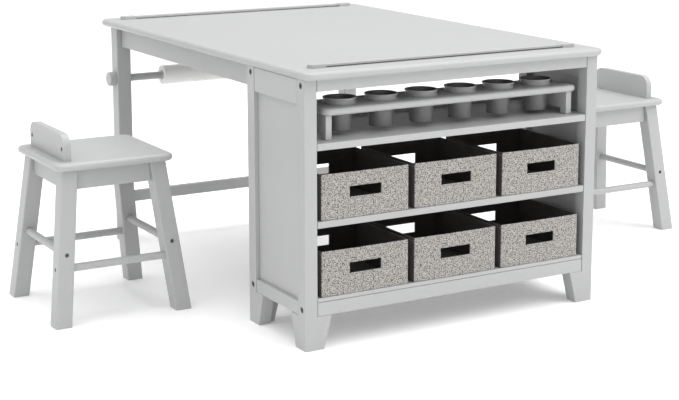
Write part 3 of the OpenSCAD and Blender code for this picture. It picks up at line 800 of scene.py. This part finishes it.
def bin_shell(node, seed):
    """A bin's stiffened shell with its hand slots: tweed in front and behind, lining elsewhere.
    Returns what the stitching follows"""
    bins = bpy.context.scene.craft_bins
    low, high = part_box(node)
    centre = (low + high) / 2
    half_w, half_d, height = (high.x - low.x) / 2, (high.y - low.y) / 2, high.z - low.z
    wall, rim = bins.wall, 0.0012
    outline = bin_outline(half_w, half_d, bins.corner, bins.slot_width / 2)
    foot_h, hem_h, row_h = 0.0022, 0.012, 0.013
    heights = spaced(
        [0.0, foot_h, bins.slot_low, bins.slot_high, height - hem_h, height - rim], row_h)
    chance = random.Random(seed)
    bows = [bins.bulge * chance.uniform(0.6, 1.1) for _ in range(4)]
    waves = [chance.uniform(0, 2 * math.pi) for _ in range(4)]
    lengths = [0.0]
    for k in range(len(outline)):
        step = (outline[(k + 1) % len(outline)][0] - outline[k][0]).length
        lengths.append(lengths[-1] + step)

    def bow(k, z):
        """How far the wall stands out at an outline point and a height"""
        _, _, number, share = outline[k % len(outline)]
        if number is None:
            return 0.0
        up, across = z / height, math.sin(math.pi * share)
        main = across * math.sin(math.pi * min(1.0, 0.25 + 0.75 * up))
        ripple = 0.12 * math.sin(7 * share * math.pi + waves[number]) * across * up
        return bows[number] * (main + ripple)

    def point(k, z, depth):
        place, away, _, share = outline[k % len(outline)]
        flat = place + away * (bow(k, z) - depth)
        sag = 0.0005 * math.sin(math.pi * share) * (z / height) ** 3
        foot = 0.0015 * max(0.0, 1 - z / foot_h) if depth == 0 else 0.0
        flat -= away * foot
        return Vector((centre.x + flat.x, centre.y + flat.y, low.z + z - sag))

    bm = bmesh.new()
    cloth = bm.loops.layers.uv.new("cloth")
    count, floor = len(outline), 0.004
    outer = [[bm.verts.new(point(k, z, 0)) for k in range(count)] for z in heights]
    inner_z = [max(z, floor) for z in heights]
    inner = [[bm.verts.new(point(k, z, wall)) for k in range(count)] for z in inner_z]
    crest = [[bm.verts.new(point(k, height - rim * (1 - s), wall * d)) for k in range(count)]
             for s, d in ((0.75, 0.12), (1.0, 0.33), (1.0, 0.67), (0.75, 0.88))]

    def quad(corners, uvs, material):
        face = bm.faces.new(corners)
        face.material_index = material
        for loop, uv in zip(face.loops, uvs):
            loop[cloth].uv = uv

    def is_side(k):
        """The bins' sides are covered in the lining's cloth"""
        away = outline[k][1] + outline[(k + 1) % count][1]
        return abs(away.x) > abs(away.y)

    def strip(lower, upper, z_low, z_high, cover, flip=False, skip=lambda k: False):
        for k in range(count):
            if skip(k):
                continue
            n = (k + 1) % count
            material = 1 if is_side(k) else cover
            u0, u1 = lengths[k], lengths[k + 1]
            corners = [lower[k], lower[n], upper[n], upper[k]]
            uvs = [(u0, z_low), (u1, z_low), (u1, z_high), (u0, z_high)]
            if flip:
                corners, uvs = corners[::-1], uvs[::-1]
            quad(corners, uvs, material)

    near = 1e-6
    slot_half = bins.slot_width / 2 + near

    def in_slot(k):
        first, second = outline[k], outline[(k + 1) % count]
        return (first[2] == second[2] and first[2] in (0, 2)
                and abs(first[0].x) < slot_half and abs(second[0].x) < slot_half)

    def slot_row(i):
        return heights[i] >= bins.slot_low - near and heights[i + 1] <= bins.slot_high + near

    for i in range(len(heights) - 1):
        open_here = in_slot if slot_row(i) else (lambda k: False)
        strip(outer[i], outer[i + 1], heights[i], heights[i + 1], 0, skip=open_here)
        if inner_z[i + 1] > inner_z[i]:
            strip(inner[i], inner[i + 1], inner_z[i], inner_z[i + 1], 1, flip=True, skip=open_here)
    rows = [outer[-1]] + crest + [inner[-1]]
    step = 0.0009
    for j, (first, second) in enumerate(zip(rows, rows[1:])):
        over = height + j * step
        strip(first, second, over, over + step, 0 if j < 4 else 1)
    # the slot's walls, between the outer and the inner skin
    slot_rows = [i for i in range(len(heights) - 1) if slot_row(i)]
    bottom_row, top_row = slot_rows[0], slot_rows[-1] + 1
    slot_columns = [k for k in range(count) if in_slot(k)]
    for k in slot_columns:
        n = (k + 1) % count
        u0, u1 = lengths[k], lengths[k + 1]
        edge = [(u0, 0), (u1, 0), (u1, wall), (u0, wall)]
        for row, (a, b) in ((bottom_row, (k, n)), (top_row, (n, k))):
            out, back = outer[row], inner[row]
            quad([out[a], out[b], back[b], back[a]], edge, 0)
        for side, column in ((k, k), (n, n)):
            if (side == k and in_slot((k - 1) % count)) or (side == n and in_slot(n)):
                continue
            for i in slot_rows:
                z0, z1 = heights[i], heights[i + 1]
                corners = [outer[i][column], inner[i][column],
                           inner[i + 1][column], outer[i + 1][column]]
                quad(corners, [(0, z0), (wall, z0), (wall, z1), (0, z1)], 0)
    # base, outside and inside
    for ring, material, turn in ((outer[0], 0, -1), (inner[0], 1, 1)):
        face = bm.faces.new(ring[::turn])
        face.material_index = material
        for loop in face.loops:
            loop[cloth].uv = (loop.vert.co.x - low.x, loop.vert.co.y - low.y)
    mesh = finish_mesh(bm, node + "_cloth", 50)
    piece = add_object(node + "_cloth", mesh, [tweed(), lining()])
    turn_edges(piece, 0.0007, 2, 50)
    evaluated_mesh(piece)
    settle(piece, node)
    return outline, centre, low, height, bow


def base_board(node, low, high):
    """The loose stiffener, wrapped in lining, that lies on a bin's base"""
    bins = bpy.context.scene.craft_bins
    gap, thick, lift, radius = 0.0012, 0.0024, 0.0042, 0.0009
    inset = bins.wall + gap
    size = Vector((high.x - low.x - 2 * inset, high.y - low.y - 2 * inset, thick))
    middle = Vector(((low.x + high.x) / 2, (low.y + high.y) / 2, low.z + lift + thick / 2))
    bm = bmesh.new()
    place = Matrix.Translation(middle) @ Matrix.Diagonal((*size, 1))
    bmesh.ops.create_cube(bm, size=1.0, matrix=place)
    bmesh.ops.bevel(bm, geom=list(bm.edges), offset=radius, segments=2, affect="EDGES")
    cloth = bm.loops.layers.uv.new("cloth")
    for face in bm.faces:
        for loop in face.loops:
            loop[cloth].uv = (loop.vert.co.x - low.x, loop.vert.co.y - low.y)
            loop[cloth].uv.x += loop.vert.co.z
    name = node + "_base_board"
    join(add_object(name, finish_mesh(bm, name, 35), [lining()]), node)


def along_lines(nodes, start):
    """Spots a pitch apart along each line of edges"""
    curve = nodes.add("GeometryNodeMeshToCurve", {"Mesh": start.outputs["Geometry"]})
    spots = nodes.add("GeometryNodeCurveToPoints", {
        "Curve": curve.outputs[0], "Length": start.outputs["Pitch"]}, mode="LENGTH")
    return spots.outputs["Points"], spots.outputs["Rotation"]


def stitch_shape():
    """One stitch: a short thread along +Z with tapering ends"""
    bm = bmesh.new()
    half, thick = 0.0014, 0.00034
    thin, near_end = thick * 0.8, half * 0.7
    profile = [(0, -half), (thin, -near_end), (thick, 0), (thin, near_end), (0, half)]
    lathe(bm, profile, Matrix.Identity(4), 6)
    return add_object("stitch_shape", finish_mesh(bm, "stitch_shape", 80))


def stitch_lines(node, outline, centre, low, height, bow):
    """Closed lines of points for the stitches: under the rim, and round both hand slots"""
    bins = bpy.context.scene.craft_bins
    bm = bmesh.new()

    out, under_rim, margin, reach = 0.00012, 0.0065, 0.0042, 0.008

    def loop(points):
        verts = [bm.verts.new(p) for p in points]
        for a, b in zip(verts, verts[1:] + verts[:1]):
            bm.edges.new((a, b))

    def on_wall(k, z):
        place, away, _, _ = outline[k]
        flat = place + away * (bow(k, z) + out)
        return Vector((centre.x + flat.x, centre.y + flat.y, low.z + z))

    loop([on_wall(k, height - under_rim) for k in range(len(outline))])
    half = bins.slot_width / 2 + margin
    z_low, z_high = bins.slot_low - margin, bins.slot_high + margin
    for wall, sign in ((0, -1), (2, 1)):
        here = [k for k, p in enumerate(outline) if p[2] == wall]

        def out_at(x, z):
            nearest = min(here, key=lambda k: abs(outline[k][0].x - x))
            return outline[nearest][0].y + sign * (bow(nearest, z) + out)

        corners = [(-half, z_low), (half, z_low), (half, z_high), (-half, z_high)]
        path = []
        for (x0, z0), (x1, z1) in zip(corners, corners[1:] + corners[:1]):
            steps = max(1, round(math.hypot(x1 - x0, z1 - z0) / reach))
            path += [(x0 + (x1 - x0) * i / steps, z0 + (z1 - z0) * i / steps)
                     for i in range(steps)]
        loop([Vector((centre.x + x, centre.y + out_at(x, z), low.z + z)) for x, z in path])
    return add_object(node + "_stitches", to_mesh(bm, node + "_stitches"))


class CRAFT_OT_bins(bpy.types.Operator):
    """Makes the six tweed bins with their linings, base boards and stitching"""

    bl_idname = "craft.bins"
    bl_label = "Fabric bins"

    def execute(self, context):
        shape = stitch_shape()
        tree, (pitch, cord) = repeating_tree(
            "stitches", shape, [("Pitch", "Float"), ("Thread", "Material")], along_lines)
        for number in range(1, 7):
            node = f"bin_{number}"
            shell = bin_shell(node, number)
            base_board(node, *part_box(node))
            seams = stitch_lines(node, *shell)
            repeat(seams, tree, [(pitch, context.scene.craft_bins.stitch), (cord, thread())])
            join(seams, node)
        bpy.data.objects.remove(shape)
        return {"FINISHED"}


# ---------- cups ----------


def cup_profile(low, high):
    """A cup's closed section: from its base's middle, up outside, over the rim and down inside"""
    cups = bpy.context.scene.craft_cups
    rim = (high.x - low.x) / 2
    height = high.z - low.z
    collar, body, base = rim - 0.003, rim - 0.0095, rim - 0.011
    collar_z, rim_z = height - 0.0135, height - 0.0034
    wall = cups.wall
    corners = [
        ((0, 0.0008), 0), ((base - 0.006, 0.0008), 1), ((base - 0.0075, 0), 1), ((base, 0), 2.5),
        ((body, collar_z), 0.4), ((collar + 0.0022, collar_z), 1),
        ((collar + 0.0022, collar_z + 0.0032), 1), ((collar, collar_z + 0.0042), 0.6),
        ((collar, rim_z), 0.6), ((rim, rim_z), 1), ((rim, height), 1.2),
        ((collar - wall + 0.0008, height), 1), ((collar - wall, collar_z + wall), 1.5),
        ((body - wall, collar_z + wall), 1), ((base - wall, wall), 2.5), ((0, wall), 0)]
    return rounded(corners, cups.lip)


def set_rim_tone(mesh, middle, low, high):
    """Marks the outside of a cup's two rims, which its plastic paints paler as a painted highlight
    for the light that falls on them
    """
    tone = mesh.attributes.new("tone", "FLOAT", "POINT")
    inside, below = (high.x - low.x) / 2 - 0.0034, high.z - 0.0137
    for vert, datum in zip(mesh.vertices, tone.data):
        datum.value = float((vert.co - middle).xy.length > inside and vert.co.z > below)


class CRAFT_OT_cups(bpy.types.Operator):
    """Turns the six cups that hang in the tray"""

    bl_idname = "craft.cups"
    bl_label = "Cups"

    def execute(self, context):
        for number in range(1, 7):
            node = f"cup_{number}"
            low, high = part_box(node)
            bm = bmesh.new()
            place = Matrix.Translation(((low.x + high.x) / 2, (low.y + high.y) / 2, low.z))
            lathe(bm, cup_profile(low, high), place, context.scene.craft_cups.sides)
            mesh = finish_mesh(bm, node + "_moulded", 40)
            set_rim_tone(mesh, place.translation, low, high)
            settle(add_object(node + "_moulded", mesh, [cup_plastic()]), node)
        return {"FINISHED"}


# ---------- paper roll ----------


def along_x(node):
    """A matrix that turns +Z to +X and puts the origin at the low end of a node's axis"""
    low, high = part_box(node)
    middle = (low + high) / 2
    return (Matrix.Translation((low.x, middle.y, middle.z))
            @ Matrix.Rotation(math.pi / 2, 4, "Y")), high - low


def paper_winding():
    """The wound paper: a spiral step along its outer end, and windings that show at its ends"""
    roll = bpy.context.scene.craft_roll
    place, size = along_x("paper_roll")
    _, core = along_x("paper_core")
    outer, inner, length = size.z / 2, core.z / 2, size.x
    chance = random.Random(5)
    sides = 128
    bm = bmesh.new()
    steps = [inner + (outer - roll.sheet - inner) * i / roll.rings for i in range(roll.rings + 1)]
    depths = [0.0003 + 0.0007 * chance.random() for _ in steps]
    section = []
    for radius, depth, nxt in zip(steps, depths, steps[1:]):
        section += [(radius, depth), (nxt - 0.00012, depth), (nxt - 0.00006, depth + 0.0004)]
    section += [(steps[-1], 0.0006), (outer, 0.0), (outer, length)]
    section += [(r, length - z) for r, z in reversed(section[:-2])]
    section.append(section[0])
    rings = []
    for k in range(sides):
        turn = 2 * math.pi * k / sides
        ring = []
        for radius, along in section:
            r = radius - (roll.sheet * k / sides if radius > steps[-1] else 0)
            point = Vector((r * math.cos(turn), r * math.sin(turn), along))
            ring.append(bm.verts.new(place @ point))
        rings.append(ring)
    for k in range(sides):
        first, second = rings[k], rings[(k + 1) % sides]
        for i in range(len(section) - 1):
            bm.faces.new((first[i], second[i], second[i + 1], first[i + 1]))
    mesh = finish_mesh(bm, "paper_winding", 40)
    settle(add_object("paper_winding", mesh, [drawing_paper()]), "paper_roll")


def turned(node, name, profile, material, sides=72):
    """A turned piece along X, in place of its CAD node"""
    place, _ = along_x(node)
    bm = bmesh.new()
    lathe(bm, profile, place, sides)
    mesh = finish_mesh(bm, name, 40)
    set_tone(mesh, 0.5)
    settle(add_object(name, mesh, [material]), node)


class CRAFT_OT_paper_roll(bpy.types.Operator):
    """Makes the dowel, its turned knobs, the cardboard core and the wound paper"""

    bl_idname = "craft.paper_roll"
    bl_label = "Paper roll"

    def execute(self, context):
        roll = context.scene.craft_roll
        paper_winding()
        _, core = along_x("paper_core")
        bore = core.z / 2 - 0.003
        outside, seam = core.z / 2, ((bore, core.x / 2), 0)
        turned("paper_core", "card_core", rounded(
            [seam, ((bore, 0), 1), ((outside, 0), 1), ((outside, core.x), 1), ((bore, core.x), 1),
             seam], 0.0004), core_board())
        _, rod = along_x("roll_dowel")
        radius = rod.z / 2
        turned("roll_dowel", "turned_dowel", rounded(
            [((0, 0), 0), ((radius, 0), 1), ((radius, rod.x), 1), ((0, rod.x), 0)], 0.001),
            painted_wood(0))
        for node in ("knob_left", "knob_right"):
            _, size = along_x(node)
            face, wide = size.x, size.z / 2
            flat = wide * 0.55
            outer = [((0, 0), 0), ((flat, 0), 0.5), ((wide, 0), 1), ((wide, face), 1),
                     ((flat, face), 0.5), ((0, face), 0)]
            turned(node, node + "_turned", rounded(outer, roll.knob_edge, 6), painted_wood(0))
        return {"FINISHED"}


# ---------- fasteners ----------


# radius, socket radius, depth and dome height of each node's heads
HEADS = {
    "cabinet_bolts": (0.0065, 0.0029, 0.003, 0.0011),
    "guide_screws": (0.0045, 0.0018, 0.002, 0.0008),
    "left_stool_screws": (0.0046, 0.0020, 0.003, 0.0010),
    "right_stool_screws": (0.0046, 0.0020, 0.003, 0.0010),
}


def head_shape(name, radius, socket_radius, depth, dome):
    """A fastener's head along +Z from z = 0 down, with a hexagon socket in its domed face"""
    sides = bpy.context.scene.craft_fasteners.sides
    bm = bmesh.new()
    rings = [(radius, -depth), (radius, -dome), (radius * 0.93, -dome * 0.35), (radius * 0.8, 0.0),
             (socket_radius * 1.25, 0.0)]
    lathe(bm, rings, Matrix.Identity(4), sides)
    top = [v for v in bm.verts if abs(v.co.z) < 1e-9 and v.co.xy.length < socket_radius * 1.3]
    top.sort(key=lambda v: math.atan2(v.co.y, v.co.x))

    def hexagon(angle, size):
        sector = (angle % (math.pi / 3)) - math.pi / 6
        return size * math.cos(math.pi / 6) / math.cos(sector)

    lower = top
    wall_end, tip_end = -depth * 0.62, -depth * 0.70
    for z, size in ((-0.0003, socket_radius), (wall_end, socket_radius), (tip_end, 0.0)):
        ring = []
        for vert in top:
            angle = math.atan2(vert.co.y, vert.co.x)
            r = hexagon(angle, size)
            ring.append((r * math.cos(angle), r * math.sin(angle), z))
        if size:
            verts = [bm.verts.new(p) for p in ring]
            for k in range(len(verts)):
                n = (k + 1) % len(verts)
                bm.faces.new((lower[k], lower[n], verts[n], verts[k]))
            lower = verts
        else:
            tip = bm.verts.new((0, 0, z))
            for k in range(len(lower)):
                bm.faces.new((lower[k], lower[(k + 1) % len(lower)], tip))
    base = [v for v in bm.verts if abs(v.co.z + depth) < 1e-9]
    base.sort(key=lambda v: math.atan2(v.co.y, v.co.x))
    bm.faces.new(base[::-1])
    return add_object(name, finish_mesh(bm, name, 35))


def on_points(nodes, start):
    """A spot on each point, turned as the point's "turn" says"""
    turn = nodes.add("GeometryNodeInputNamedAttribute", {"Name": "turn"}, data_type="FLOAT_VECTOR")
    spots = nodes.add("GeometryNodeMeshToPoints", {"Mesh": start.outputs["Geometry"]})
    return spots.outputs[0], turn.outputs["Attribute"]


def head_places(node):
    """(place of the head's outer face, outward direction) for every fastener in a CAD node"""
    centre = sum(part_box(node), Vector()) / 2
    places = []
    for low, high in solids_of(node):
        size, middle = high - low, (low + high) / 2
        axis = longest_axis(low, high)
        if node.endswith("_stool_screws") and axis == 2:
            # an upright stud: what shows is its cross nut, in the lip's outer face
            nut_radius = 0.005
            left = node.startswith("left")
            face = Vector((low.x if left else high.x, middle.y, high.z - nut_radius))
            places.append((face, Vector((-1 if left else 1, 0, 0))))
            continue
        outward = Vector((0, 0, 0))
        outward[axis] = -1.0 if axis == 2 else math.copysign(1.0, middle[axis] - centre[axis])
        place = middle.copy()
        place[axis] = low[axis] if outward[axis] < 0 else high[axis]
        places.append((place, outward))
    return places


class CRAFT_OT_fasteners(bpy.types.Operator):
    """Sets a socket head at the end of every bolt, screw and cross nut"""

    bl_idname = "craft.fasteners"
    bl_label = "Bolts and screws"

    def execute(self, context):
        for node, (radius, socket, depth, dome) in HEADS.items():
            head = head_shape(node + "_head", radius, socket, depth, dome)
            tree, (steel,) = repeating_tree(
                "fasteners", head, [("Steel", "Material")], on_points)
            places = head_places(node)
            mesh = bpy.data.meshes.new(node + "_heads")
            mesh.from_pydata([tuple(p) for p, _ in places], [], [])
            turn = mesh.attributes.new("turn", "FLOAT_VECTOR", "POINT")
            for datum, (_, outward) in zip(turn.data, places):
                datum.vector = outward.to_track_quat("Z", "Y").to_euler()
            heads = add_object(node + "_heads", mesh)
            repeat(heads, tree, [(steel, plated_steel())])
            settle(heads, node)
            bpy.data.objects.remove(head)
        return {"FINISHED"}


# ---------- stage ----------


def area_light(name, place, size, power):
    """A square soft light that looks at the middle of the set"""
    aim = Vector((0, 0, 0.35))
    data = bpy.data.lights.new(name, "AREA")
    data.size = size
    data.energy = power
    light = bpy.data.objects.new(name, data)
    bpy.context.scene.collection.objects.link(light)
    light.location = place
    light.rotation_euler = (aim - Vector(place)).to_track_quat("-Z", "Y").to_euler()


class CRAFT_OT_stage(bpy.types.Operator):
    """Lays the pale floor, hangs the soft lights and sets the camera"""

    bl_idname = "craft.stage"
    bl_label = "Stage"

    def execute(self, context):
        scene, stage = context.scene, context.scene.craft_stage
        bm = bmesh.new()
        bmesh.ops.create_grid(bm, x_segments=2, y_segments=2, size=30)
        bmesh.ops.translate(bm, vec=(0, 0, CAD_BOX[0].z), verts=bm.verts)
        add_object("floor", to_mesh(bm, "floor"), [pale_floor()])

        world = bpy.data.worlds.new("studio")
        world.use_nodes = True
        world.node_tree.nodes.clear()
        sky = Nodes(world.node_tree)
        direction = sky.add("ShaderNodeTexCoord").outputs["Generated"]
        brightest = (-0.42, -0.46, 0.78)
        facing = sky.add("ShaderNodeVectorMath", {0: direction, 1: brightest},
                         operation="DOT_PRODUCT").outputs["Value"]
        soft = sky.add("ShaderNodeMapRange", {
            "Value": facing, "From Min": -0.6, "From Max": 1.0, "To Min": 0.46, "To Max": 1.10})
        seen = sky.add("ShaderNodeLightPath").outputs["Is Camera Ray"]
        level = sky.add("ShaderNodeMix", {0: seen, 2: soft.outputs[0], 3: 1.0})
        glow = sky.add("ShaderNodeBackground", {
            "Color": (1, 1, 1, 1), "Strength": level.outputs[0]})
        sky.add("ShaderNodeOutputWorld", {"Surface": glow.outputs[0]})
        scene.world = world
        area_light("key", (2.6, -3.1, 3.6), 2.4, 84)
        area_light("top", (0.2, 0.2, 4.4), 4.5, 150)
        area_light("side", (-3.6, -0.2, 4.2), 2.6, 16)

        camera_data = bpy.data.cameras.new("camera")
        camera_data.lens = stage.lens
        camera_data.sensor_width = 36
        camera_data.shift_x = stage.shift_x
        camera_data.shift_y = stage.shift_y
        camera_data.clip_end = 100
        camera = bpy.data.objects.new("camera", camera_data)
        scene.collection.objects.link(camera)
        camera.location = stage.camera_place
        camera.rotation_euler = (math.pi / 2 - stage.camera_pitch, 0, -stage.camera_yaw)
        scene.camera = camera
        scene.view_settings.view_transform = "Standard"
        return {"FINISHED"}


# ---------- panel ----------


OPERATORS = [
    CRAFT_OT_stage, CRAFT_OT_boards, CRAFT_OT_bins, CRAFT_OT_cups, CRAFT_OT_paper_roll,
    CRAFT_OT_fasteners]


class CRAFT_PT_set(bpy.types.Panel):
    """The craft table's pieces"""

    bl_idname = "CRAFT_PT_set"
    bl_label = "Craft table"
    bl_space_type = "VIEW_3D"
    bl_region_type = "UI"
    bl_category = "Craft Table"

    def draw(self, context):
        for operator in OPERATORS:
            self.layout.operator(operator.bl_idname)
        for name, group in SETTINGS.items():
            box = self.layout.box()
            box.label(text=group.__doc__)
            for key in group.__annotations__:
                box.prop(getattr(context.scene, name), key)


CLASSES = [*SETTINGS.values(), *OPERATORS, CRAFT_PT_set]


def register():
    for item in CLASSES:
        bpy.utils.register_class(item)
    for name, group in SETTINGS.items():
        setattr(bpy.types.Scene, name, PointerProperty(type=group))


def unregister():
    for name in SETTINGS:
        delattr(bpy.types.Scene, name)
    for item in reversed(CLASSES):
        bpy.utils.unregister_class(item)


def main():
    """Makes everything in order"""
    register()
    bpy.ops.craft.stage()
    bpy.ops.craft.boards()
    bpy.ops.craft.bins()
    bpy.ops.craft.cups()
    bpy.ops.craft.paper_roll()
    bpy.ops.craft.fasteners()
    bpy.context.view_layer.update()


if __name__ == "__main__":
    main()
